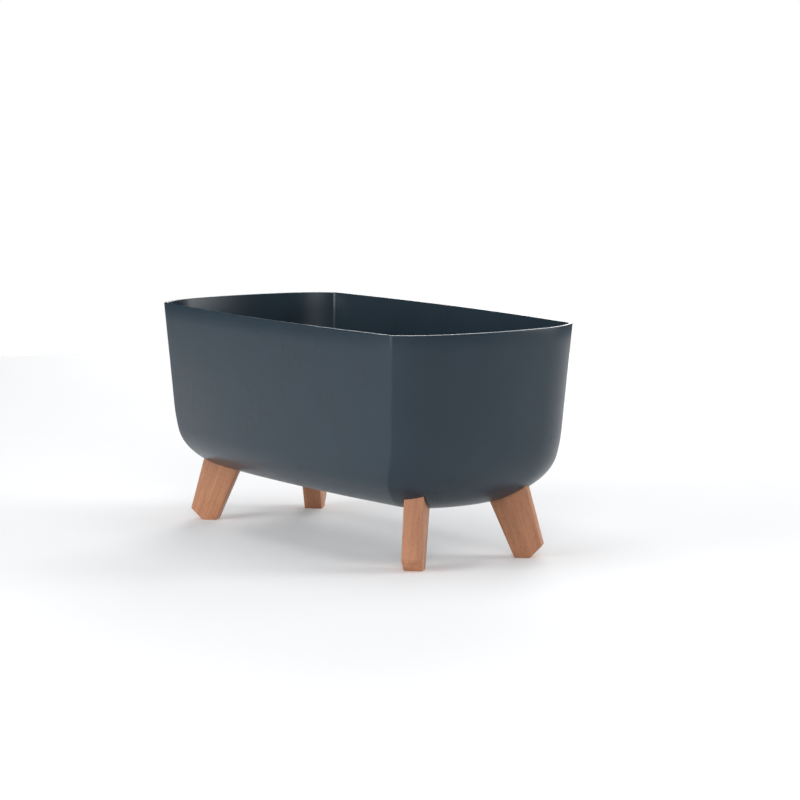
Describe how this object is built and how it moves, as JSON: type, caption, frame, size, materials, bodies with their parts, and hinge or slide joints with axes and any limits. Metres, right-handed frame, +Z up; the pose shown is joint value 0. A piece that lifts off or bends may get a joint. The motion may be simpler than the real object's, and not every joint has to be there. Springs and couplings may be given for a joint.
{
  "type": "raised planter on legs",
  "caption": "Long trough planter with bowed sides and rounded corners, raised on splayed wooden board legs, with a lift-out drainage insert.",
  "frame": {"origin": "on the floor, under the middle of the planter", "axes": "+X along the planter's length, towards the filling collar; +Y across its width; +Z up"},
  "size_m": [0.59, 0.295, 0.283],
  "materials": {
    "shell": "satin anthracite, moulded",
    "insert": "matt charcoal, moulded",
    "wood": "oiled reddish brown, fine grain",
    "steel": "zinc plated",
    "seal": "matt black",
    "brass": "turned"
  },
  "bodies": {
    "planter": {"planter_shell": "shell", "leg_front_left": "wood", "leg_front_right": "wood", "leg_back_left": "wood", "leg_back_right": "wood", "leg_screws": "steel", "screw_washers": "steel", "sealing_rings": "seal", "threaded_sleeves": "brass"},
    "insert": {"drainage_insert": "insert"}
  },
  "joints": [
    {"name": "insert_lift", "type": "slide", "parent": "planter", "child": "insert", "axis": [0, 0, 1], "range_m": [0, 0.3]}
  ]
}
